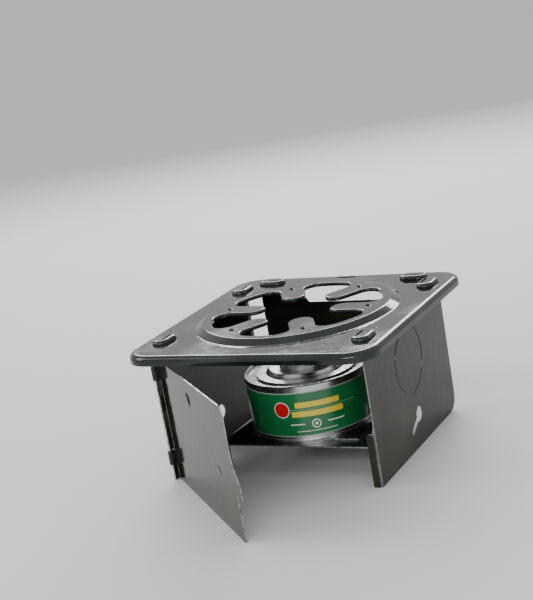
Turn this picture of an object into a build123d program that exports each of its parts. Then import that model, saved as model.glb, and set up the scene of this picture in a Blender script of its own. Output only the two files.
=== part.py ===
from build123d import *
import math
import os

# Folding canister stove: a square pressed-steel top on three hinged walls,
# with a front wing, a shelf and a fuel can. Everything is in millimetres.
# It is modelled about the centre of the top, +Y to the back, ground at z = 0,
# and moved at the end so that the origin is under the middle of the whole box.

# ---------------- top plate ----------------
plate_side = 190.0
plate_corner_radius = 20.0
plate_top = 100.5
plate_sheet = 1.0
flange_depth = 6.7
shoulder_radius = 4.0

ring_radius = 75.0
ring_slope = 6.0
ring_rise = 3.5
ring_blend = 2.0
opening_radius = 62.0
finger_count = 6
finger_width = 18.0
finger_tip = 27.0
petal_corner = 9.0
lip_depth = 2.6
lip_width = 1.8
lip_round = 1.4
stud_radius = 2.6
stud_height = 1.1
stud_distance = 56.0

hang_slot_length = 15.0
hang_slot_width = 3.4
hang_slot_inset = 6.5

# ---------------- hinges under the six humps ----------------
hump_length = 22.0
hump_width = 13.0
hump_rise = 3.0
hump_sheet = 0.8
hump_round = 2.4
hump_slit = 1.8
hinge_spacing = 120.0
side_axis_inset = 17.4
back_axis_inset = 17.0
axis_above_top = 0.5
pin_radius = 0.8
pin_grip = 0.3
pin_clearance = 0.05
curl_radius = 1.4
tab_width = 12.0

# ---------------- walls ----------------
wall_sheet = 0.8
side_jog = 3.7
back_jog = 2.3
wall_gap_under_top = 1.0
side_front_inset = 20.4
side_back_inset = 23.5
side_corner = 12.0
back_wall_gap = 8.3
back_wall_foot = 36.5
back_wall_corner = 8.0
back_notch_width = 68.0
back_notch_floor = 84.0
back_notch_corner = 5.0

groove_radius = 24.1
groove_width = 2.0
groove_depth = 0.35
groove_y = -3.0
groove_z = 64.0
keyhole_radius = 5.5
keyhole_y = 2.0
keyhole_z = 22.0
keyhole_slot_width = 4.6
keyhole_slot_length = 17.0
keyhole_slot_angle = 210.0

# ---------------- front wing and its two clips ----------------
wing_length = 138.0
wing_gap_under_flange = 2.4
wing_swing_rest = 41.7
wing_corner = 8.0
bead_radius = 1.0
clip_reach = 3.6
clip_radius = 2.3
clip_height = 10.0
clip_clearance = 0.06
clip_window_gap = 0.4
clip_heights = (17.0, 81.5)
upper_hole_radius = 4.9
upper_hole_at = (64.5, 77.5)
lower_hole_radius = 3.4
lower_hole_at = (109.0, 40.2)
hook_reach = 9.5
hook_low = 32.3
hook_face = 8.5
hook_top = 58.0

# ---------------- shelf and its post ----------------
shelf_top = 27.0
shelf_sheet = 1.0
shelf_setback = 3.7
shelf_behind_can = 1.4
shelf_front_left = -42.0
shelf_right_gap = 6.3
shelf_back_left = -34.0
shelf_back_right = 40.0
shelf_corner = 4.0
leg_width = 8.0
back_leg_left = -30.0
back_leg_right = 20.0
shelf_hole_length = 20.0
shelf_hole_width = 6.0
shelf_hole_at = (52.0, -60.0)
post_clearance = 0.5
post_width = 5.0
post_height = 38.0
post_sheet = 0.8
post_in_front = 0.4
ledge_length = 5.0

# ---------------- fuel can ----------------
can_x = 12.0
can_setback = 2.3
can_height = 41.5
can_radius = 44.2
can_sheet = 0.5
chime_width = 0.9
chime_height = 2.6
label_sheet = 0.3
label_gap = 0.05
label_low = 5.0
label_high = 36.5
panel_drop = 2.2
step_radius = 36.0
step_rise = 1.6
dome_radius = 27.0
dome_rise = 4.4
neck_radius = 19.0
neck_wall = 1.2
neck_height = 14.0
thread_count = 3
thread_pitch = 3.0
thread_rise = 0.7
deck_drop = 2.5
deck_sheet = 0.8
wick_radius = 4.0
wick_rise = 3.5
wick_tube_wall = 0.6
wick_clearance = 0.05
fuel_depth = 26.0
fuel_gap = 0.3

# ---------------- worked out from the sizes above ----------------
half = plate_side / 2
plate_under = plate_top - plate_sheet
ring_top = plate_top + ring_rise
axis_z = plate_top + axis_above_top
side_axis_x = half - side_axis_inset
back_axis_y = half - back_axis_inset
side_wall_x = side_axis_x + side_jog
back_wall_y = back_axis_y + back_jog
wall_top = plate_under - wall_gap_under_top
side_front = side_front_inset - half
side_back = half - side_back_inset
back_wall_width = 2 * (side_wall_x - back_wall_gap)
wing_height = plate_top - flange_depth - wing_gap_under_flange
can_outside = can_radius + chime_width
shelf_front = side_front + shelf_setback
can_y = shelf_front + can_setback + can_outside
shelf_back = can_y + can_outside + shelf_behind_can
shelf_front_right = side_wall_x - shelf_right_gap
hinge_offsets = (-hinge_spacing / 2, hinge_spacing / 2)
window_height = clip_height + 2 * clip_window_gap

# The wall's bead is at the left wall's front edge. The wing's own bead stands
# off it square to the wing, so that the wing ends flat against the wall's
# outer face when it is swung right round.
wing_angle = -wing_swing_rest
wing_dir = Vector(1, 0, 0).rotate(Axis.Z, wing_angle)
wall_bead = Vector(-side_wall_x, side_front, 0)
wing_bead = wall_bead + Vector(-clip_reach, 0, 0).rotate(Axis.Z, 270 + wing_angle)


def upright(sketch_face, thickness):
    """A sheet of this thickness, centred on the plane its outline lies in."""
    return extrude(sketch_face, amount=thickness / 2, both=True)


def top_edges(solid):
    return solid.faces().sort_by(Axis.Z)[-1].edges()


# ---------------- top plate ----------------
def pan(side, corner, low, high, shoulder):
    block = Pos(0, 0, low) * extrude(RectangleRounded(side, side, corner), high - low)
    return fillet(top_edges(block), shoulder)


def raised_disc(radius, rise, base_z):
    cone = Cone(radius, radius - ring_slope, rise, align=(Align.CENTER, Align.CENTER, Align.MIN))
    return Pos(0, 0, base_z) * cone


def star_opening():
    """The fire hole: a disc with rounded fingers reaching in from its edge."""
    tip_centre = finger_tip + finger_width / 2
    length = opening_radius + 5 - tip_centre
    finger = Pos(tip_centre + length / 2, 0) * Rectangle(length, finger_width)
    finger += Pos(tip_centre, 0) * Circle(finger_width / 2)
    opening = Circle(opening_radius)
    for number in range(finger_count):
        opening -= Rot(0, 0, 360 / finger_count * number) * finger
    corners = opening.vertices().filter_by(lambda v: v.center().length > opening_radius - 1)
    return fillet(corners, petal_corner)


def hump_places():
    """Centre, turn and inward direction of each hinge hump."""
    for sign in (-1, 1):
        for offset in hinge_offsets:
            yield Pos(sign * side_axis_x, offset, 0) * Rot(0, 0, 90), sign
    for offset in hinge_offsets:
        yield Pos(offset, back_axis_y, 0), -1


def hump_outside():
    block = extrude(SlotOverall(hump_length, hump_width), hump_rise)
    return Pos(0, 0, plate_top) * fillet(top_edges(block), hump_round)


def hump_inside():
    depth = plate_sheet + hump_rise - hump_sheet
    outline = SlotOverall(hump_length - 2 * hump_sheet, hump_width - 2 * hump_sheet)
    block = extrude(outline, depth)
    return Pos(0, 0, plate_under) * fillet(top_edges(block), hump_round - hump_sheet)


def make_top_plate():
    base = plate_top - flange_depth
    plate = pan(plate_side, plate_corner_radius, base, plate_top, shoulder_radius)
    raised = raised_disc(ring_radius, ring_rise, plate_top)
    plate += raised
    rims = plate.edges().filter_by(GeomType.CIRCLE).filter_by(lambda e: e.radius > opening_radius)
    plate = fillet(rims, ring_blend)
    inside = plate_side - 2 * plate_sheet
    hollow = pan(inside, plate_corner_radius - plate_sheet, base, plate_under, shoulder_radius - plate_sheet)
    hollow += raised_disc(ring_radius - plate_sheet / 2, ring_rise, plate_under)
    plate -= hollow
    opening = star_opening()
    lip = offset(opening, amount=lip_width) - opening
    plate += Pos(0, 0, ring_top - lip_depth) * extrude(lip, lip_depth)
    plate -= Pos(0, 0, base) * extrude(opening, flange_depth + 2 * ring_rise)
    reach = opening_radius + 0.5
    rim = plate.edges().filter_by(lambda e: abs(e.center().Z - ring_top) < 0.01)
    rim = rim.filter_by(lambda e: max(math.hypot(v.X, v.Y) for v in e.vertices()) < reach)
    plate = fillet(rim, lip_round)
    for place, side in hump_places():
        plate += place * hump_outside()
    for place, side in hump_places():
        plate -= place * hump_inside()
        slit = Box(tab_width, hump_slit, 2 * hump_rise)
        plate -= place * Pos(0, side * hump_width / 5, plate_top + 1.5 * hump_rise) * slit
    for number in range(finger_count):
        stud = Cone(stud_radius, stud_radius / 3, stud_height, align=(Align.CENTER, Align.CENTER, Align.MIN))
        plate += Rot(0, 0, 360 / finger_count * number) * Pos(stud_distance, 0, ring_top) * stud
    slot = extrude(SlotOverall(hang_slot_length, hang_slot_width), 4 * plate_sheet)
    return plate - Pos(0, half - hang_slot_inset, plate_top - 2 * plate_sheet) * slot


def make_hinge_pins():
    length = hump_length - 2 * hump_sheet + 2 * pin_grip
    pin = Rot(0, 90, 0) * Cylinder(pin_radius, length)
    return Compound([place * Pos(0, 0, axis_z) * pin for place, side in hump_places()])


# ---------------- walls ----------------
def hinge_tab(jog):
    """One tab, for a wall jog mm along -Y from its hinge axis, which runs along X."""
    curl = Rot(0, 90, 0) * Cylinder(curl_radius, tab_width)
    arm = Pos(0, -(jog + wall_sheet / 2) / 2, 0) * Box(tab_width, jog + wall_sheet / 2, wall_sheet)
    drop = axis_z - wall_top + 1 + wall_sheet / 2
    strip = Pos(0, -jog, wall_sheet / 2 - drop / 2) * Box(tab_width, wall_sheet, drop)
    bore = Rot(0, 90, 0) * Cylinder(pin_radius + pin_clearance, 2 * tab_width)
    return Pos(0, 0, axis_z) * (curl + arm + strip - bore)


def side_outline():
    """Side wall outline on the YZ plane."""
    width = side_back - side_front
    panel = Pos((side_back + side_front) / 2, wall_top / 2) * Rectangle(width, wall_top)
    corner = panel.vertices().sort_by(Axis.X)[-2:].sort_by(Axis.Y)[0]
    panel = fillet(corner, side_corner)
    slot_end = Pos(keyhole_slot_length / 2, 0) * SlotCenterToCenter(keyhole_slot_length, keyhole_slot_width)
    panel -= Pos(keyhole_y, keyhole_z) * Circle(keyhole_radius)
    panel -= Pos(keyhole_y, keyhole_z) * Rot(0, 0, keyhole_slot_angle) * slot_end
    return panel


def make_side_wall(sign):
    wall = Pos(sign * side_wall_x, 0, 0) * upright(Plane.YZ * side_outline(), wall_sheet)
    ring = Circle(groove_radius + groove_width / 2) - Circle(groove_radius - groove_width / 2)
    groove = extrude(Plane.YZ * Pos(groove_y, groove_z) * ring, groove_depth * 2, both=True)
    outer_face = side_wall_x + wall_sheet / 2 + groove_depth
    wall -= Pos(sign * outer_face, 0, 0) * groove
    for offset_y in hinge_offsets:
        turn = Rot(0, 0, 90 * sign)
        wall += Pos(sign * side_axis_x, offset_y, 0) * turn * hinge_tab(side_jog)
    return wall


def make_left_wall():
    wall = make_side_wall(-1)
    depth = clip_reach + clip_radius + clip_window_gap
    for height in clip_heights:
        window = Box(4 * wall_sheet, 2 * depth, window_height)
        wall -= Pos(wall_bead.X, wall_bead.Y, height) * window
    bead = Cylinder(bead_radius, wing_height, align=(Align.CENTER, Align.CENTER, Align.MIN))
    return wall + Pos(wall_bead.X, wall_bead.Y, 0) * bead


def make_back_wall():
    height = wall_top - back_wall_foot
    panel = Pos(0, back_wall_foot + height / 2) * Rectangle(back_wall_width, height)
    panel = fillet(panel.vertices().sort_by(Axis.Y)[:2], back_wall_corner)
    notch_height = wall_top - back_notch_floor
    notch = Rectangle(back_notch_width, 2 * notch_height)
    notch = fillet(notch.vertices(), back_notch_corner)
    panel -= Pos(0, wall_top) * notch
    wall = Pos(0, back_wall_y, 0) * upright(Plane.XZ * panel, wall_sheet)
    for offset_x in hinge_offsets:
        wall += Pos(offset_x, back_axis_y, 0) * Rot(0, 0, 180) * hinge_tab(back_jog)
    return wall


# ---------------- front wing ----------------
def wing_outline():
    """Wing outline: along the wing from its bead, and up from the ground."""
    hook_slope = (hook_top - hook_low - hook_face) / 2
    points = [
        (0, 0),
        (wing_length, 0),
        (wing_length, hook_low),
        (wing_length + hook_reach, hook_low),
        (wing_length + hook_reach, hook_low + hook_face),
        (wing_length + hook_reach / 3, hook_low + hook_face + hook_slope),
        (wing_length, hook_top),
        (wing_length, wing_height),
        (0, wing_height),
    ]
    panel = make_face(Polyline(*points, close=True))
    corner = panel.vertices().filter_by(lambda v: abs(v.X - wing_length) < 0.01).sort_by(Axis.Y)[-1]
    panel = fillet(corner, wing_corner)
    panel -= Pos(*upper_hole_at) * Circle(upper_hole_radius)
    panel -= Pos(*lower_hole_at) * Circle(lower_hole_radius)
    for height in clip_heights:
        panel -= Pos(0, height) * Rectangle(2 * (clip_radius + clip_window_gap), window_height)
    return panel


def make_front_wing():
    plane = Plane(origin=wing_bead, x_dir=wing_dir, z_dir=wing_dir.cross(Vector(0, 0, 1)))
    wing = upright(plane * wing_outline(), wall_sheet)
    bead = Cylinder(bead_radius, wing_height, align=(Align.CENTER, Align.CENTER, Align.MIN))
    return wing + Pos(wing_bead.X, wing_bead.Y, 0) * bead


def make_clip(height):
    middle = (wall_bead + wing_bead) / 2
    turn = math.degrees(math.atan2(wing_bead.Y - wall_bead.Y, wing_bead.X - wall_bead.X))
    outline = Pos(middle.X, middle.Y) * Rot(0, 0, turn) * SlotCenterToCenter(clip_reach, 2 * clip_radius)
    for bead in (wall_bead, wing_bead):
        outline -= Pos(bead.X, bead.Y) * Circle(bead_radius + clip_clearance)
    return Pos(0, 0, height - clip_height / 2) * extrude(outline, clip_height)


# ---------------- shelf ----------------
def make_shelf():
    corners = [
        (shelf_front_left, shelf_front),
        (shelf_front_right, shelf_front),
        (shelf_back_right, shelf_back),
        (shelf_back_left, shelf_back),
    ]
    tray = make_face(Polyline(*corners, close=True))
    tray = fillet(tray.vertices().sort_by(Axis.Y)[2:], shelf_corner)
    hole = Pos(*shelf_hole_at) * SlotOverall(shelf_hole_length, shelf_hole_width)
    shelf = Pos(0, 0, shelf_top - shelf_sheet) * extrude(tray - hole, shelf_sheet)
    leg = Box(leg_width, shelf_sheet, shelf_top, align=(Align.MIN, Align.MIN, Align.MIN))
    shelf += Pos(shelf_front_left, shelf_front, 0) * leg
    for left in (back_leg_left, back_leg_right):
        shelf += Pos(left, shelf_back - shelf_sheet, 0) * leg
    return shelf


def make_post():
    """Upright in front of the right wall, with a ledge under the shelf's corner."""
    left = shelf_front_right + post_clearance
    back = side_front - post_in_front
    tall = post_height - post_width / 2
    outline = Pos(left + post_width / 2, tall / 2) * Rectangle(post_width, tall)
    outline += Pos(left + post_width / 2, tall) * Circle(post_width / 2)
    strip = Pos(0, back, 0) * extrude(Plane.XZ * outline, post_sheet)
    reach = shelf_front - back + ledge_length + post_sheet
    ledge_z = shelf_top - 1.5 * shelf_sheet
    ledge = Pos(left, back - post_sheet, ledge_z) * Box(
        post_width / 2, reach, shelf_sheet / 2, align=(Align.MIN, Align.MIN, Align.MIN))
    lap = Pos(left - ledge_length, shelf_front, ledge_z) * Box(
        ledge_length + post_width / 2, ledge_length, shelf_sheet / 2,
        align=(Align.MIN, Align.MIN, Align.MIN))
    return strip + ledge + lap


# ---------------- fuel can ----------------
def turned(points):
    """A solid turned about the can's axis from (radius, height above the shelf) points."""
    profile = make_face(Plane.XZ * Polyline(*points, close=True))
    return Pos(can_x, can_y, shelf_top) * revolve(profile, Axis.Z)


def make_can_body():
    low = chime_height
    high = can_height - chime_height
    inner = can_radius - can_sheet
    return turned([(inner, low), (can_radius, low), (can_radius, high), (inner, high)])


def make_bottom_end():
    outer = can_outside
    inner = can_radius - can_sheet
    return turned([(0, 1), (inner - 2, 1), (inner - 1, 0), (outer, 0), (outer, chime_height),
                   (inner, chime_height), (inner, 1 + can_sheet), (0, 1 + can_sheet)])


def make_top_end():
    outer = can_outside
    inner = can_radius - can_sheet - 1
    floor = can_height - panel_drop
    under = floor - can_sheet
    step = floor + step_rise
    dome = floor + dome_rise
    neck = neck_radius
    return turned([
        (outer, can_height - chime_height), (outer, can_height - 0.6), (outer - 0.6, can_height),
        (inner + 0.6, can_height), (inner, can_height - 0.6), (inner - 0.5, floor),
        (step_radius + 1.2, floor), (step_radius, step), (dome_radius + 2, step),
        (dome_radius - 1, dome), (neck, dome), (neck, dome - can_sheet),
        (dome_radius - 1.4, dome - can_sheet), (dome_radius + 1.6, step - can_sheet),
        (step_radius - 0.4, step - can_sheet), (step_radius + 0.8, under),
        (inner, under), (inner + 0.5, can_height - chime_height)])


def make_neck():
    low = can_height - panel_drop + dome_rise - can_sheet
    high = low + neck_height
    inner = neck_radius - neck_wall
    points = [(inner, low), (neck_radius, low)]
    first = low + neck_height / 4
    for turn in range(thread_count):
        start = first + turn * thread_pitch
        points += [(neck_radius, start), (neck_radius + thread_rise, start + thread_pitch / 4),
                   (neck_radius + thread_rise, start + thread_pitch / 2),
                   (neck_radius, start + 0.75 * thread_pitch)]
    points += [(neck_radius, high - 0.4), (neck_radius - 0.4, high), (inner + 0.3, high), (inner, high - 0.3)]
    return turned(points)


def neck_top():
    return can_height - panel_drop + dome_rise - can_sheet + neck_height


def make_wick_deck():
    high = neck_top() - deck_drop
    bore = wick_radius + wick_clearance
    tube = bore + wick_tube_wall
    tube_low = can_height - panel_drop
    return turned([(bore, tube_low), (tube, tube_low), (tube, high - deck_sheet),
                   (neck_radius - neck_wall, high - deck_sheet), (neck_radius - neck_wall, high),
                   (tube, high), (tube, high + 1), (bore, high + 1)])


def make_wick():
    high = neck_top() - deck_drop + 1 + wick_rise
    low = fuel_depth / 2
    return turned([(0, low), (wick_radius, low), (wick_radius, high - 1), (wick_radius - 1, high), (0, high)])


def make_fuel():
    low = 1 + can_sheet
    outer = can_radius - can_sheet - fuel_gap
    bore = wick_radius + fuel_gap
    wick_low = fuel_depth / 2 - fuel_gap
    return turned([(0, low), (outer, low), (outer, fuel_depth), (bore, fuel_depth), (bore, wick_low), (0, wick_low)])


def make_label():
    inner = can_radius + label_gap
    outer = inner + label_sheet
    return turned([(inner, label_low), (outer, label_low), (outer, label_high), (inner, label_high)])


nodes = {
    "top_plate": make_top_plate(),
    "hinge_pins": make_hinge_pins(),
    "left_wall": make_left_wall(),
    "right_wall": make_side_wall(1),
    "back_wall": make_back_wall(),
    "front_wing": make_front_wing(),
    "lower_wing_clip": make_clip(clip_heights[0]),
    "upper_wing_clip": make_clip(clip_heights[1]),
    "can_shelf": make_shelf(),
    "shelf_post": make_post(),
    "can_body": make_can_body(),
    "can_bottom_end": make_bottom_end(),
    "can_top_end": make_top_end(),
    "can_neck": make_neck(),
    "wick_deck": make_wick_deck(),
    "wick": make_wick(),
    "fuel_fill": make_fuel(),
    "can_label": make_label(),
}

# The origin goes under the middle of the whole box, on the ground.
boxes = [solid.bounding_box() for solid in nodes.values()]
middle_x = (min(b.min.X for b in boxes) + max(b.max.X for b in boxes)) / 2
middle_y = (min(b.min.Y for b in boxes) + max(b.max.Y for b in boxes)) / 2

os.makedirs("parts", exist_ok=True)
for name in nodes:
    nodes[name] = Pos(-middle_x, -middle_y, 0) * nodes[name]
    export_step(nodes[name], f"parts/{name}.step")
print("origin moved by", round(-middle_x, 4), round(-middle_y, 4))
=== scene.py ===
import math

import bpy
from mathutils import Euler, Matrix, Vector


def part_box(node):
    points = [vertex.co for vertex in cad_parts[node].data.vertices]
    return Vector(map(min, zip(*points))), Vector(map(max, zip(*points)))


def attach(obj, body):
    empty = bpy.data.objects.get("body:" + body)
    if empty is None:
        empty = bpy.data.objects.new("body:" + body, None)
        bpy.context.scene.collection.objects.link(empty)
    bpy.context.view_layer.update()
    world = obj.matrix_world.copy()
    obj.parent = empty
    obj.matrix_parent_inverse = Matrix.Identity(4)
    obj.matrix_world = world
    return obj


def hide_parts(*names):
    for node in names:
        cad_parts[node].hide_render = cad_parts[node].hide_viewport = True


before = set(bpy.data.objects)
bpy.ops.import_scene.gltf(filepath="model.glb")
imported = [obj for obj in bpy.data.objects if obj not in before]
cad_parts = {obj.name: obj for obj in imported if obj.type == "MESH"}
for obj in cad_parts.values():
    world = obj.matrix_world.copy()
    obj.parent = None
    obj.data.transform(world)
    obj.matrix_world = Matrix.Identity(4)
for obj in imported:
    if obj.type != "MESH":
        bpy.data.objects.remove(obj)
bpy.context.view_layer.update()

# %% [markdown]
# # A folding canister stove
# The real stove is thin sheet steel, pressed and then dipped in a glossy black coating, with a
# tinned fuel can on a shelf inside. The sheets are already at their true size in the frame, so
# this lesson gives each one its finish, and builds the few things that a plain solid can't
# show: the twisted wick and the can's soldered side seam.

MM = 0.001

# %% [markdown]
# ## Places that everything else is measured from
# A finish has to know where its sheet or can is. Those places come from the frame: the can's
# axis is the middle of its body's box, and the wing's run is the long diagonal of its own box.

# %% Places
can_low, can_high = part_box("can_body")
can_axis = (can_low + can_high) / 2
can_radius = (can_high.x - can_low.x) / 2
plate_low, plate_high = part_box("top_plate")
plate_middle = (plate_low + plate_high) / 2
wing_low, wing_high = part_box("front_wing")
wing_run = Vector((wing_high.x - wing_low.x, wing_low.y - wing_high.y, 0)).normalized()
wing_normal = Vector((wing_run.y, -wing_run.x, 0))
print("can axis", [round(v, 4) for v in can_axis], "radius", round(can_radius, 4))
print("wing runs along", [round(v, 3) for v in wing_run])

# %% [markdown]
# ## The camera
# The camera looks from the front right and a little above, close enough for the square top to
# narrow towards the back. It is turned slightly about its own line of sight, so that the top's
# front edge runs almost level. It has no blur, because the whole stove should be sharp.

# %% Camera
LENS_MM = 81.4
SENSOR_MM = 36.0
CAMERA_PLACE = (0.4489, -0.7934, 0.3574)
CAMERA_TURN = (75.3, 9.8, 27.07)

camera_data = bpy.data.cameras.new("camera")
camera_data.lens = LENS_MM
camera_data.sensor_width = SENSOR_MM
camera = bpy.data.objects.new("camera", camera_data)
camera.location = CAMERA_PLACE
camera.rotation_euler = Euler([math.radians(turn) for turn in CAMERA_TURN], "XYZ")
bpy.context.scene.collection.objects.link(camera)
bpy.context.scene.camera = camera
print("camera stands", round((camera.location - plate_middle).length, 3), "m away")

# %% [markdown]
# ## Floor and light
# Glossy black shows almost nothing of itself, only what it mirrors. So the lamps are big soft
# panels: their pale shapes draw the rolled shoulder of the top, the ring's slope and each hump.
# The floor is one wide pale sheet, and the sky is an even soft grey that fills the dark sides.

# %% Floor and light
FLOOR_SIZE = 400.0
SKY_COLOUR = (0.88, 0.9, 0.9, 1)
SKY_STRENGTH = 0.95


def make_floor(size):
    mesh = bpy.data.meshes.new("floor")
    reach = size / 2
    corners = [(-reach, -reach, 0), (reach, -reach, 0), (reach, reach, 0), (-reach, reach, 0)]
    mesh.from_pydata(corners, [], [(0, 1, 2, 3)])
    floor = bpy.data.objects.new("floor", mesh)
    bpy.context.scene.collection.objects.link(floor)
    return floor


def make_panel_light(name, place, aim, size, power):
    data = bpy.data.lights.new(name, "AREA")
    data.shape = "RECTANGLE"
    data.size, data.size_y = size
    data.energy = power
    lamp = bpy.data.objects.new(name, data)
    lamp.location = place
    lamp.rotation_euler = (Vector(aim) - Vector(place)).to_track_quat("-Z", "Y").to_euler()
    bpy.context.scene.collection.objects.link(lamp)
    return lamp


floor = make_floor(FLOOR_SIZE)
make_panel_light("back_panel", (-0.45, 1.2, 0.75), plate_middle, (1.2, 0.35), 16)
make_panel_light("left_panel", (-1.1, -0.5, 0.9), plate_middle, (0.7, 0.7), 8)
make_panel_light("front_panel", (0.25, -1.3, 0.75), plate_middle, (1.1, 0.22), 8)
world = bpy.data.worlds.new("sky")
world.use_nodes = True
sky = world.node_tree.nodes["Background"]
sky.inputs["Color"].default_value = SKY_COLOUR
sky.inputs["Strength"].default_value = SKY_STRENGTH
bpy.context.scene.world = world

# %% [markdown]
# ## Writing shader maths as sums
# A finish is a web of small nodes. Written one by one, the thought behind them gets lost, so a
# small class wraps a socket and lets it be added, multiplied and compared like a number. Each
# sum quietly becomes a Math node. Every other node comes from one method that sets what the
# node is first, and then fills its sockets.

# %% Shader helpers
class Flow:
    """A node's output that can be used in sums."""

    def __init__(self, tree, socket):
        self.tree = tree
        self.socket = socket

    def math(self, operation, *values):
        node = self.tree.nodes.new("ShaderNodeMath")
        node.operation = operation
        for place, value in enumerate(values):
            if isinstance(value, Flow):
                self.tree.links.new(value.socket, node.inputs[place])
            else:
                node.inputs[place].default_value = value
        return Flow(self.tree, node.outputs[0])

    def __add__(self, other):
        return self.math("ADD", self, other)

    def __radd__(self, other):
        return self.math("ADD", other, self)

    def __sub__(self, other):
        return self.math("SUBTRACT", self, other)

    def __rsub__(self, other):
        return self.math("SUBTRACT", other, self)

    def __mul__(self, other):
        return self.math("MULTIPLY", self, other)

    def __rmul__(self, other):
        return self.math("MULTIPLY", other, self)

    def __truediv__(self, other):
        return self.math("DIVIDE", self, other)

    def __rtruediv__(self, other):
        return self.math("DIVIDE", other, self)

    def __pow__(self, other):
        return self.math("POWER", self, other)

    def __abs__(self):
        return self.math("ABSOLUTE", self)

    def __gt__(self, other):
        return self.math("GREATER_THAN", self, other)

    def __lt__(self, other):
        return self.math("LESS_THAN", self, other)

    def soft_step(self, low, high):
        """0 below low, 1 above high, and a smooth rise between."""
        node = self.tree.nodes.new("ShaderNodeMapRange")
        node.interpolation_type = "SMOOTHSTEP"
        self.tree.links.new(self.socket, node.inputs["Value"])
        node.inputs["From Min"].default_value = low
        node.inputs["From Max"].default_value = high
        return Flow(self.tree, node.outputs["Result"])


class Finish:
    """A material with one Principled shader, and short ways to feed it."""

    def __init__(self, name, **constants):
        self.material = bpy.data.materials.new(name)
        self.material.use_nodes = True
        self.tree = self.material.node_tree
        self.shader = self.tree.nodes["Principled BSDF"]
        self.fill(self.shader, constants)
        self.place = self.node("ShaderNodeTexCoord")

    def fill(self, node, values):
        for name, value in values.items():
            socket = node.inputs[name if name in node.inputs else name.replace("_", " ")]
            if isinstance(value, Flow):
                self.tree.links.new(value.socket, socket)
            else:
                socket.default_value = value

    def node(self, kind, settings=None, **values):
        node = self.tree.nodes.new(kind)
        for name, value in (settings or {}).items():
            setattr(node, name, value)
        self.fill(node, values)
        return node

    def out(self, node, name):
        return Flow(self.tree, node.outputs[name])

    def spot(self):
        """The point on the piece, in metres, as it moves with the piece."""
        return self.out(self.place, "Object")

    def xyz(self, vector):
        split = self.node("ShaderNodeSeparateXYZ", Vector=vector)
        return [self.out(split, axis) for axis in "XYZ"]

    def facing(self, direction):
        """How squarely the surface faces a direction of the piece, from -1 to 1."""
        dot = self.node("ShaderNodeVectorMath", {"operation": "DOT_PRODUCT"})
        self.tree.links.new(self.place.outputs["Normal"], dot.inputs[0])
        dot.inputs[1].default_value = direction
        return self.out(dot, "Value")

    def noise(self, size, detail=2.0, roughness=0.5):
        """Cloudy variation from 0 to 1 whose blotches are about this many metres across."""
        node = self.node("ShaderNodeTexNoise", Vector=self.spot(), Scale=1 / size, Detail=detail,
                         Roughness=roughness)
        return self.out(node, "Fac")

    def mix(self, amount, low, high):
        """A colour between two colours."""
        node = self.node("ShaderNodeMix", {"data_type": "RGBA"})
        sockets = (node.inputs["Factor"], node.inputs[6], node.inputs[7])
        for socket, value in zip(sockets, (amount, low, high)):
            if isinstance(value, Flow):
                self.tree.links.new(value.socket, socket)
            else:
                socket.default_value = value
        return Flow(self.tree, node.outputs[2])

    def bump(self, height, depth, strength=1.0):
        """Feeds the shader's Normal with dents of about this depth in metres."""
        node = self.node("ShaderNodeBump", Height=height, Distance=depth, Strength=strength)
        self.tree.links.new(node.outputs["Normal"], self.shader.inputs["Normal"])

    def feed(self, **values):
        self.fill(self.shader, values)


def coat(finish, *nodes):
    """Puts a finish on whole nodes of the frame."""
    for name in nodes:
        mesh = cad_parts[name].data
        mesh.materials.clear()
        mesh.materials.append(finish.material)
    print(finish.material.name, "on", len(nodes), "piece(s)")


def rgb(red, green, blue):
    return (red, green, blue, 1.0)


# %% [markdown]
# ## The floor's own finish
# A studio floor is plain, but a perfectly even one looks like paper cut from the picture. A
# faint cloudiness in its colour and roughness is enough.

# %% Floor finish
floor_finish = Finish("pale_floor")
cloud = floor_finish.noise(0.4)
floor_finish.feed(Base_Color=floor_finish.mix(cloud, rgb(0.62, 0.62, 0.60), rgb(0.68, 0.68, 0.66)),
                  Roughness=0.55 + cloud * 0.2)
floor.data.materials.append(floor_finish.material)
print("floor finish nodes:", len(floor_finish.tree.nodes))

# %% [markdown]
# ## The coated steel sheets
# The coating is a thin black lacquer over bright steel, so it is smooth and dark. The faint olive
# tint in its colours is a painted reflection of green surroundings, not the coating's own colour.
# Three things make it real: a very fine ripple left by the dipping, fingerprints and dust that
# dull it in patches, and the cut edges of each sheet, where the coating is thin and the steel
# shines through. A cut edge is found by its direction: there the surface no longer faces along
# the sheet's own thickness.

# %% Coated steel
PRESSED_GLOSS = 0.5
FLAT_GLOSS = 0.22
RIPPLE_DEPTH = 0.12 * MM
BARE_EDGE = rgb(0.42, 0.43, 0.41)


def coated_steel(name, across, deep, pale, mirror):
    """across is the direction of the sheet's thickness, or None for a pressed sheet."""
    gloss = PRESSED_GLOSS if across is None else FLAT_GLOSS
    finish = Finish(name, Coat_Roughness=0.04, Coat_Weight=0.1, Specular_IOR_Level=gloss)
    dull = finish.noise(0.05, 4.0, 0.6).soft_step(0.45, 0.75)
    ripple = finish.noise(0.006, 2.0)
    grain = finish.noise(0.0007, 2.0)
    speck = (finish.noise(0.0022, 1.0) > 0.74) * 0.35
    colour = finish.mix(dull, deep, pale)
    shine = mirror * (1 - 0.35 * dull)
    rough = 0.07 + dull * 0.13 + speck * 0.3
    if across is not None:
        cut = 1 - abs(finish.facing(across)).soft_step(0.35, 0.7)
        worn = cut * finish.noise(0.004, 3.0).soft_step(0.25, 0.6)
        colour = finish.mix(worn, colour, BARE_EDGE)
        shine = shine + worn * (1 - mirror)
        rough = rough + worn * 0.18
    finish.feed(Base_Color=colour, Metallic=shine, Roughness=rough)
    finish.bump(ripple * 0.75 + grain * 0.08 + speck * 0.1, RIPPLE_DEPTH)
    return finish


# Black coating whose faint olive tint is a painted reflection of green surroundings; deep is clean and
# pale is dusty.
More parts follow.
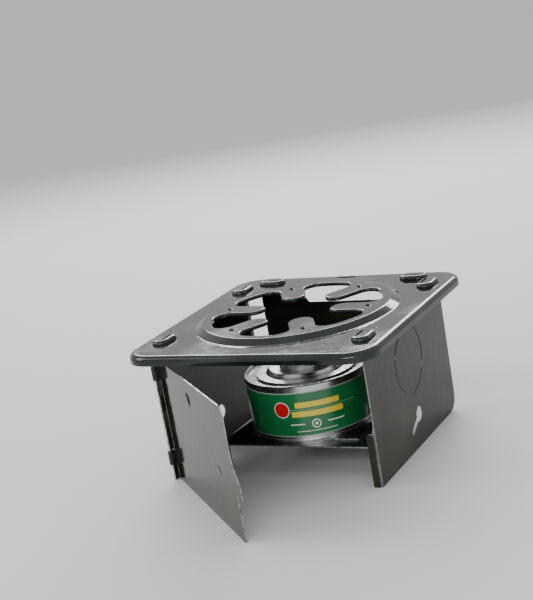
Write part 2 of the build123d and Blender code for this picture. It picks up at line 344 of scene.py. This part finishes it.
BLACK_WITH_PAINTED_GREEN_DEEP = rgb(0.014, 0.015, 0.009)
BLACK_WITH_PAINTED_GREEN_PALE = rgb(0.030, 0.031, 0.020)
side_steel = coated_steel("coated_side", (1, 0, 0), BLACK_WITH_PAINTED_GREEN_DEEP, BLACK_WITH_PAINTED_GREEN_PALE, 0.1)
back_steel = coated_steel("coated_back", (0, 1, 0), BLACK_WITH_PAINTED_GREEN_DEEP, BLACK_WITH_PAINTED_GREEN_PALE, 0.1)
wing_steel = coated_steel("coated_wing", wing_normal, BLACK_WITH_PAINTED_GREEN_DEEP, BLACK_WITH_PAINTED_GREEN_PALE, 0.1)
# The shelf's faint blue tint is a painted reflection of the sky on a black coating.
SHELF_PAINTED_SKY_BLUE_DEEP = rgb(0.012, 0.014, 0.018)
SHELF_PAINTED_SKY_BLUE_PALE = rgb(0.03, 0.034, 0.042)
shelf_steel = coated_steel("coated_shelf", (0, 0, 1), SHELF_PAINTED_SKY_BLUE_DEEP, SHELF_PAINTED_SKY_BLUE_PALE, 0.4)
# The top's green-grey tint is a painted reflection of green surroundings on a black coating.
top_steel = coated_steel("coated_top", None, rgb(0.010, 0.016, 0.013), rgb(0.026, 0.036, 0.031), 0.35)
clip_steel = coated_steel("coated_clip", None, rgb(0.006, 0.006, 0.007), rgb(0.02, 0.02, 0.022), 0.2)
coat(side_steel, "left_wall", "right_wall")
coat(back_steel, "back_wall", "shelf_post")
coat(wing_steel, "front_wing")
coat(shelf_steel, "can_shelf")
coat(top_steel, "top_plate")
coat(clip_steel, "lower_wing_clip", "upper_wing_clip")

# %% [markdown]
# ## The hinge pins
# The pins under the humps are drawn wire with a zinc flash. They are seen only through the
# slits, so a fine grain and a cloudy zinc bloom are all they need.

# %% Hinge pins
pin_finish = Finish("zinc_wire", Metallic=1.0)
bloom = pin_finish.noise(0.003, 3.0)
pin_finish.feed(Base_Color=pin_finish.mix(bloom, rgb(0.62, 0.64, 0.66), rgb(0.8, 0.81, 0.8)),
                Roughness=0.2 + bloom * 0.25)
pin_finish.bump(pin_finish.noise(0.0004, 1.0), 0.00003)
coat(pin_finish, "hinge_pins")

# %% [markdown]
# ## Tinned steel
# The can's ends are pressed in a spinning die and tinned, which leaves fine turned rings about
# its axis. The rings follow the distance from that axis, so that distance is worked out first.
# The rings are mixed a little into the roughness as well, because turned metal streaks its light.

# %% Tinned steel
def can_distance(finish):
    """Distance from the can's axis, height and the angle round it, in metres and radians."""
    x, y, z = finish.xyz(finish.spot())
    east = x - can_axis.x
    north = y - can_axis.y
    distance = (east * east + north * north) ** 0.5
    angle = finish.spot().math("ARCTAN2", north, east)
    return distance, z, angle


def tinned_steel(name, ring_size):
    finish = Finish(name, Metallic=1.0)
    distance, height, _ = can_distance(finish)
    wave = finish.spot().math("SINE", (distance + height * 0.7) * (2 * math.pi / ring_size))
    cloud = finish.noise(0.012, 4.0)
    stain = finish.noise(0.03, 3.0, 0.6).soft_step(0.5, 0.8)
    colour = finish.mix(cloud, rgb(0.50, 0.51, 0.53), rgb(0.70, 0.70, 0.71))
    finish.feed(Base_Color=finish.mix(stain * 0.5, colour, rgb(0.5, 0.49, 0.46)),
                Roughness=0.2 + wave * 0.03 + cloud * 0.14 + stain * 0.1)
    finish.bump(wave * 0.5 + finish.noise(0.0015, 2.0) * 0.4, 0.00005)
    return finish


coat(tinned_steel("tin_ends", 0.0011), "can_top_end", "can_bottom_end", "can_neck")
coat(tinned_steel("tin_body", 0.004), "can_body", "wick_deck")

# %% [markdown]
# ## The printed label
# The can wears a green printed sleeve. Its print is made for this lesson from plain shapes: two
# yellow bars, a red dot with a pale rim, a white ring, and thin rules. Each shape is a mask worked
# out from how far round the can and how far up the sleeve the point is, so nothing needs to be
# unwrapped. The inks are a little uneven, as lacquer printed on metal is.

# %% Label
label_low, label_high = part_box("can_label")
LABEL_FACES = math.radians(-66)


def within(flow, low, high):
    return (flow > low) * (flow < high)


def make_label_finish():
    finish = Finish("printed_label", Coat_Roughness=0.08, Coat_Weight=0.5)
    _, z, angle = can_distance(finish)
    round_mm = (angle - LABEL_FACES) * (can_radius / MM)
    up_mm = (z - label_low.z) / MM
    first_bar = within(up_mm, 20.5, 24.5) * within(round_mm, -9, 22)
    second_bar = within(up_mm, 14.0, 18.0) * within(round_mm, -12, 24)
    dot_x = round_mm + 19
    dot_y = up_mm - 19.5
    dot_distance = (dot_x * dot_x + dot_y * dot_y) ** 0.5
    red_dot = dot_distance < 5.2
    dot_rim = within(dot_distance, 5.2, 5.8)
    ring_x = round_mm - 4
    ring_y = up_mm - 8.3
    ring_distance = (ring_x * ring_x + ring_y * ring_y) ** 0.5
    ring = within(ring_distance, 2.4, 3.2) + (ring_distance < 1.1)
    small_rules = within(up_mm, 8.2, 9.0) * (within(round_mm, -14, -4) + within(round_mm, 12, 24))
    foot_rule = within(up_mm, 3.2, 3.7) * within(round_mm, -10, 18)
    hair_rule = within(up_mm, 19.0, 19.35) * within(round_mm, -24, 34)
    ink = finish.noise(0.02, 3.0)
    fade = finish.noise(0.0012, 2.0)
    colour = finish.mix(ink, rgb(0.005, 0.125, 0.035), rgb(0.012, 0.19, 0.06))
    colour = finish.mix(hair_rule * 0.7, colour, rgb(0.35, 0.6, 0.4))
    colour = finish.mix(first_bar + second_bar, colour, rgb(0.78, 0.60, 0.04))
    colour = finish.mix(ring + small_rules + foot_rule, colour, rgb(0.78, 0.80, 0.76))
    colour = finish.mix(dot_rim, colour, rgb(0.78, 0.80, 0.76))
    colour = finish.mix(red_dot, colour, rgb(0.55, 0.012, 0.012))
    edge = 1 - within(up_mm, 0.6, (label_high.z - label_low.z) / MM - 0.6)
    colour = finish.mix(edge, colour, rgb(0.36, 0.38, 0.37))
    finish.feed(Base_Color=colour, Roughness=0.22 + ink * 0.12 + fade * 0.05)
    finish.bump(fade * 0.6 + ink * 0.4, 0.00004)
    return finish


coat(make_label_finish(), "can_label")
print("label stands", round((label_high.z - label_low.z) / MM, 1), "mm tall")

# %% [markdown]
# ## The fuel
# The fuel is a pale pink gel, shut inside the can and almost never seen. It still gets a soft
# waxy finish with a cloudy colour, so that the can can be opened in a later picture.

# %% Fuel
fuel_finish = Finish("fuel_gel")
swirl = fuel_finish.noise(0.01, 4.0)
fuel_finish.feed(Base_Color=fuel_finish.mix(swirl, rgb(0.62, 0.36, 0.42), rgb(0.74, 0.5, 0.52)),
                 Roughness=0.3 + swirl * 0.2)
fuel_finish.bump(swirl, 0.0003)
coat(fuel_finish, "fuel_fill")

# %% [markdown]
# ## The wick
# The wick is a cord of twisted cotton, charred at its tip. A plain rod would look like a
# dowel, so each strand is a tube that climbs round the wick's axis. The strands together fill
# the same space as the frame's rod, which they stand in for.

# %% Wick
def add_mesh(name, points, faces, finish, body):
    mesh = bpy.data.meshes.new(name)
    mesh.from_pydata(points, [], faces)
    mesh.materials.append(finish.material)
    for face in mesh.polygons:
        face.use_smooth = True
    piece = bpy.data.objects.new(name, mesh)
    bpy.context.scene.collection.objects.link(piece)
    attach(piece, body)
    print(name, "has", len(faces), "faces")
    return piece


def twisted_cord(axis, low, high, radius, strands, turns):
    """Points and faces of strands that climb round an axis, each one closed at both ends."""
    points, faces = [], []
    strand_radius = radius * 0.40
    climb_radius = radius - strand_radius
    steps, sides = 56, 10
    for strand in range(strands):
        base = len(points)
        for step in range(steps + 1):
            part = step / steps
            turn = 2 * math.pi * (turns * part + strand / strands)
            out = Vector((math.cos(turn), math.sin(turn), 0))
            middle = Vector((axis.x, axis.y, low + (high - low) * part)) + out * climb_radius
            along = Vector((-math.sin(turn), math.cos(turn), 0))
            taper = strand_radius * min(1.0, 0.45 + 6 * (1 - part))
            for side in range(sides):
                spin = 2 * math.pi * side / sides
                points.append(middle + (out * math.cos(spin) + along * math.sin(spin)) * taper)
        for step in range(steps):
            for side in range(sides):
                a = base + step * sides + side
                b = base + step * sides + (side + 1) % sides
                faces.append((a, b, b + sides, a + sides))
        faces.append(tuple(base + side for side in reversed(range(sides))))
        faces.append(tuple(base + steps * sides + side for side in range(sides)))
    return points, faces


wick_low, wick_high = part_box("wick")
wick_finish = Finish("charred_cotton")
wick_x, wick_y, wick_z = wick_finish.xyz(wick_finish.spot())
fibre = wick_finish.noise(0.0006, 3.0)
char = (wick_z + fibre * 0.003).soft_step(wick_high.z - 0.004, wick_high.z + 0.0005)
cotton = wick_finish.mix(fibre, rgb(0.62, 0.56, 0.44), rgb(0.82, 0.78, 0.68))
charred = wick_finish.mix(char, cotton, rgb(0.02, 0.018, 0.016))
wick_finish.feed(Base_Color=charred, Roughness=0.85 + char * 0.1)
wick_finish.bump(fibre, 0.0004)
wick_radius = (wick_high.x - wick_low.x) / 2
cord = twisted_cord((wick_low + wick_high) / 2, wick_low.z, wick_high.z, wick_radius, 5, 3.5)
wick = add_mesh("twisted_wick", *cord, wick_finish, "shelf")
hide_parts("wick")

# %% [markdown]
# ## The side seam
# A can's body is a rolled sheet, lapped and soldered along one line. The seam is a low ridge on
# the bare metal above and below the label, on the side away from the label's print. Its section
# is a shallow arch, swept straight up the body.

# %% Side seam
def arched_strip(centre, radius, angle, low, high, width, rise):
    """Points and faces of a low arch that runs up a can's side."""
    out = Vector((math.cos(angle), math.sin(angle), 0))
    along = Vector((-math.sin(angle), math.cos(angle), 0))
    steps = 10
    parts = [step / steps for step in range(steps + 1)]
    section = [(width * (part - 0.5), rise * math.sin(math.pi * part)) for part in parts]
    points = []
    for level in (low, high):
        for across, up in section:
            sink = radius - math.sqrt(radius * radius - across * across)
            spot = Vector((centre.x, centre.y, level)) + out * (radius - sink + up) + along * across
            points.append(spot)
        for across, up in reversed(section):
            sink = radius - math.sqrt(radius * radius - across * across)
            spot = Vector((centre.x, centre.y, level)) + out * (radius - sink - 0.1 * MM) + along * across
            points.append(spot)
    ring = 2 * (steps + 1)
    faces = [(a, (a + 1) % ring, (a + 1) % ring + ring, a + ring) for a in range(ring)]
    faces.append(tuple(reversed(range(ring))))
    faces.append(tuple(range(ring, 2 * ring)))
    return points, faces


seam_finish = tinned_steel("solder", 0.002)
SEAM_FACES = LABEL_FACES + math.pi * 0.8
SEAM_WIDTH = 3.4 * MM
SEAM_RISE = 0.42 * MM
seam = arched_strip(can_axis, can_radius, SEAM_FACES, can_low.z, can_high.z, SEAM_WIDTH, SEAM_RISE)
seam_piece = add_mesh("can_side_seam", *seam, seam_finish, "shelf")

# %% [markdown]
# ## Smooth and sharp
# The frame's meshes are many small flat facets. Their curved faces should shade smoothly, and
# their cut edges should stay crisp. Splitting the shading by angle does both at once, and it
# moves no point.

# %% Shading by angle
SHARP = math.radians(32)
for name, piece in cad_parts.items():
    for face in piece.data.polygons:
        face.use_smooth = True
    piece.data.set_sharp_from_angle(angle=SHARP)
print("shaded", len(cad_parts), "pieces")
